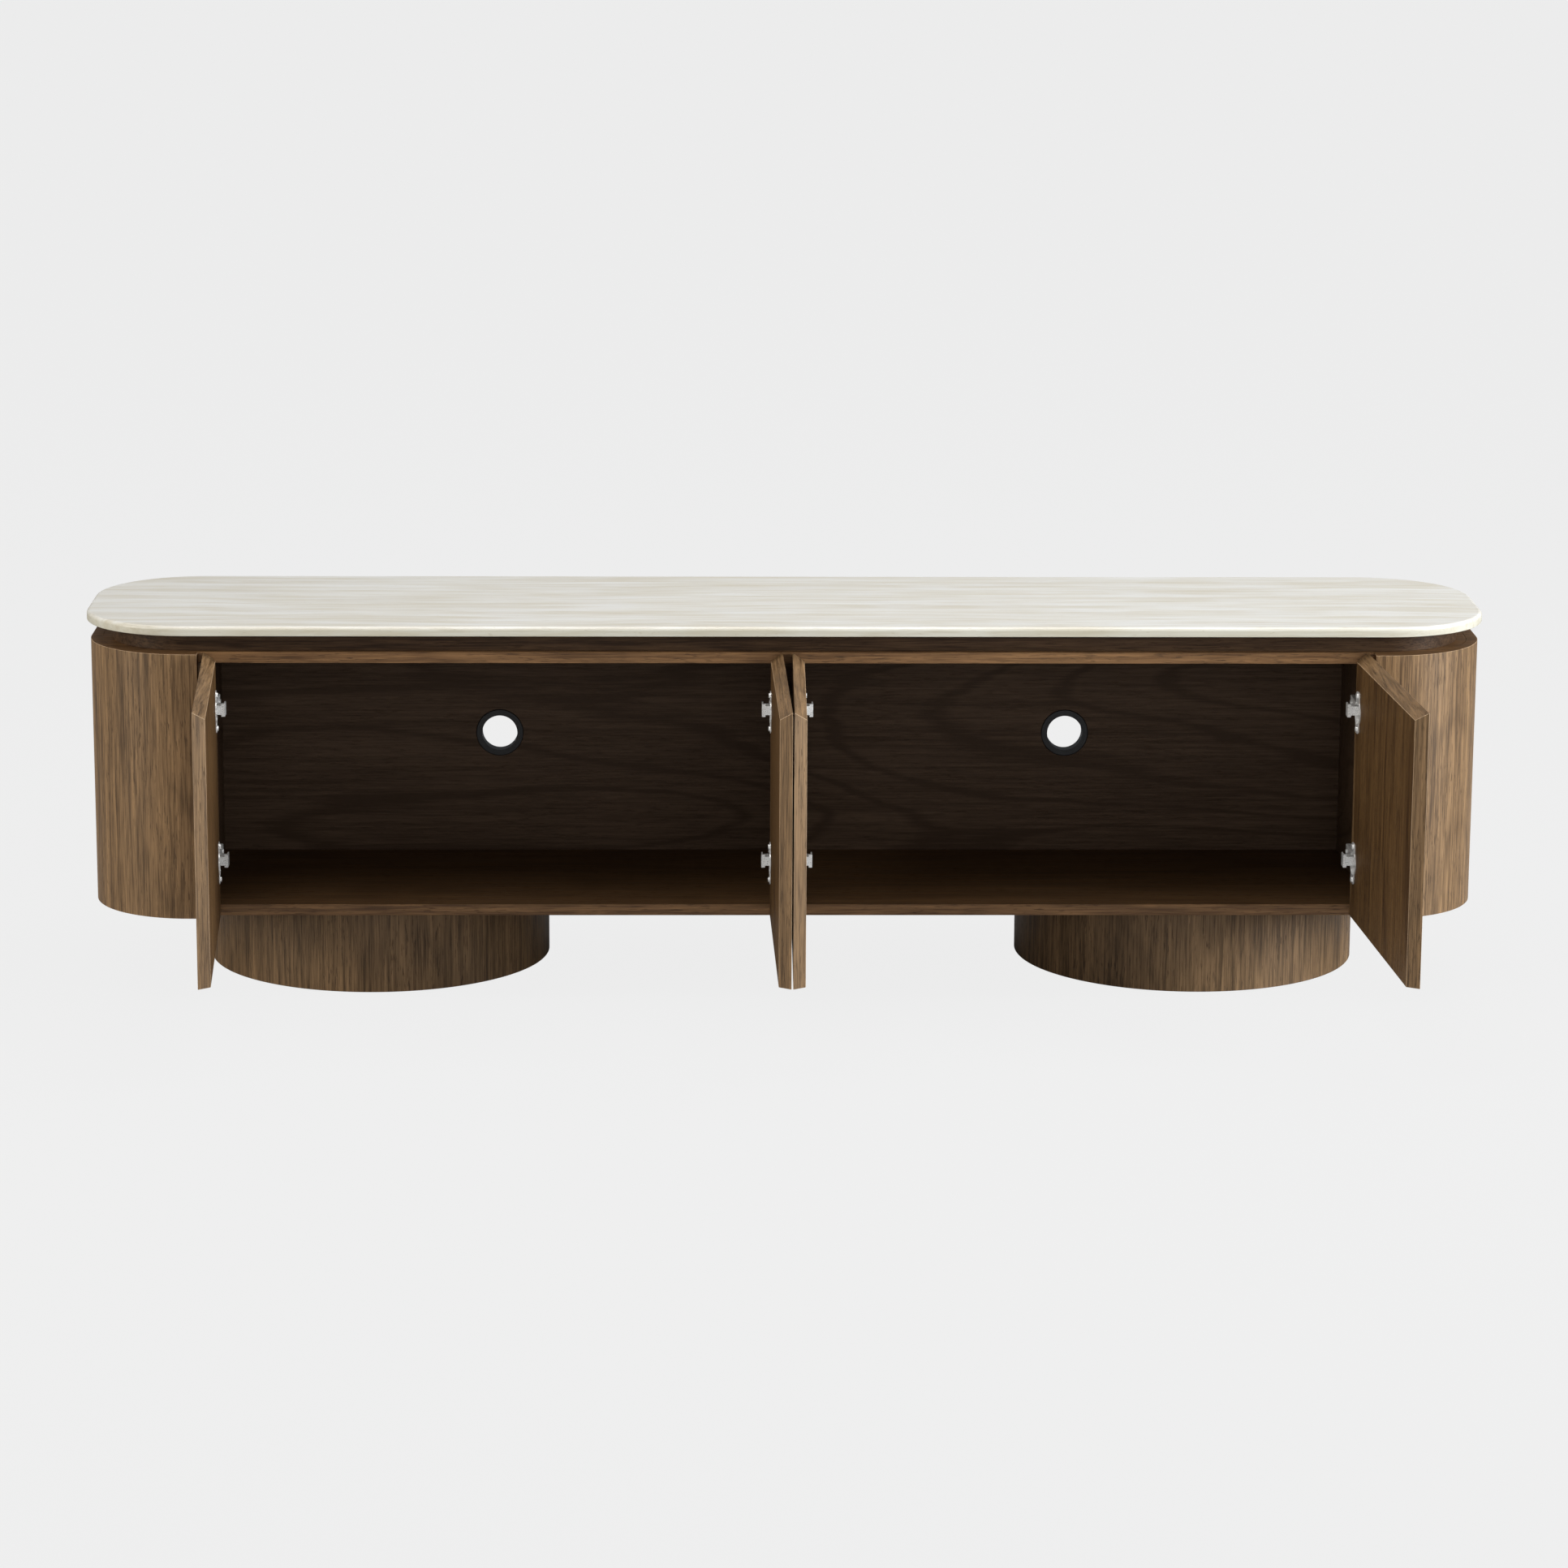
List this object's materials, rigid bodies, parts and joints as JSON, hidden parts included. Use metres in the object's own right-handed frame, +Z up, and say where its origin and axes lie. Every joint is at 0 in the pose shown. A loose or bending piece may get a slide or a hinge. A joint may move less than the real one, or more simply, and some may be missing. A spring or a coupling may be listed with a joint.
{
  "type": "media cabinet",
  "caption": "Low media cabinet with a rounded stone top, walnut doors on concealed hinges, bent ends and round-fronted plinths.",
  "frame": {"origin": "on the floor, midway along the cabinet, in the plane of the closed doors' front faces; with the doors open it is also the bottom centre of the whole box", "axes": "+X to the right along the cabinet seen from the front, +Y to the back, +Z up"},
  "size_m": [2, 0.7879, 0.55],
  "materials": {
    "travertine": "honed cream stone with fine linear veins",
    "walnut": "satin lacquered walnut veneer",
    "dark_walnut": "dark stained walnut",
    "nickel": "nickel plate",
    "zinc": "zinc plated steel",
    "black_plastic": "moulded black plastic",
    "nylon": "dark nylon",
    "silicone": "clear silicone"
  },
  "bodies": {
    "cabinet": {"arm_clamp_screws": "zinc", "back_panel": "walnut", "bottom_panel": "walnut", "carcass_screws": "zinc", "centre_partition": "walnut", "door_1_hinge_arms": "nickel", "door_1_mounting_plates": "nickel", "door_2_hinge_arms": "nickel", "door_2_mounting_plates": "nickel", "door_3_hinge_arms": "nickel", "door_3_mounting_plates": "nickel", "door_4_hinge_arms": "nickel", "door_4_mounting_plates": "nickel", "floor_glides": "nylon", "grommet_retaining_rings": "black_plastic", "left_cable_grommet": "black_plastic", "left_end_rib": "walnut", "left_end_shell": "walnut", "left_plinth_back": "walnut", "left_plinth_front": "walnut", "left_plinth_top_plate": "walnut", "left_side_upright": "walnut", "mounting_plate_screws": "zinc", "plinth_screws": "zinc", "right_cable_grommet": "black_plastic", "right_end_rib": "walnut", "right_end_shell": "walnut", "right_plinth_back": "walnut", "right_plinth_front": "walnut", "right_plinth_top_plate": "walnut", "right_side_upright": "walnut", "riser_screws": "zinc", "stone_bonding_pads": "silicone", "stone_top": "travertine", "top_panel": "walnut", "top_riser": "dark_walnut"},
    "door_1": {"door_1_cup_screws": "zinc", "door_1_hinge_cups": "nickel", "door_1_hinge_pins": "nickel", "door_1_leaf": "walnut"},
    "door_2": {"door_2_cup_screws": "zinc", "door_2_hinge_cups": "nickel", "door_2_hinge_pins": "nickel", "door_2_leaf": "walnut"},
    "door_3": {"door_3_cup_screws": "zinc", "door_3_hinge_cups": "nickel", "door_3_hinge_pins": "nickel", "door_3_leaf": "walnut"},
    "door_4": {"door_4_cup_screws": "zinc", "door_4_hinge_cups": "nickel", "door_4_hinge_pins": "nickel", "door_4_leaf": "walnut"}
  },
  "joints": [
    {"name": "door_1_hinge", "type": "hinge", "parent": "cabinet", "child": "door_1", "pos_m": [-0.816, 0.0068, 0.3185], "axis": [0, 0, -1], "range_deg": [-86.6, 13.4]},
    {"name": "door_2_hinge", "type": "hinge", "parent": "cabinet", "child": "door_2", "pos_m": [-0.0135, 0.0068, 0.3185], "axis": [0, 0, 1], "range_deg": [-90.8, 0.1]},
    {"name": "door_3_hinge", "type": "hinge", "parent": "cabinet", "child": "door_3", "pos_m": [0.0135, 0.0068, 0.3185], "axis": [0, 0, -1], "range_deg": [-90.8, 0.1]},
    {"name": "door_4_hinge", "type": "hinge", "parent": "cabinet", "child": "door_4", "pos_m": [0.816, 0.0068, 0.3185], "axis": [0, 0, 1], "range_deg": [-93.6, 6.4]}
  ]
}
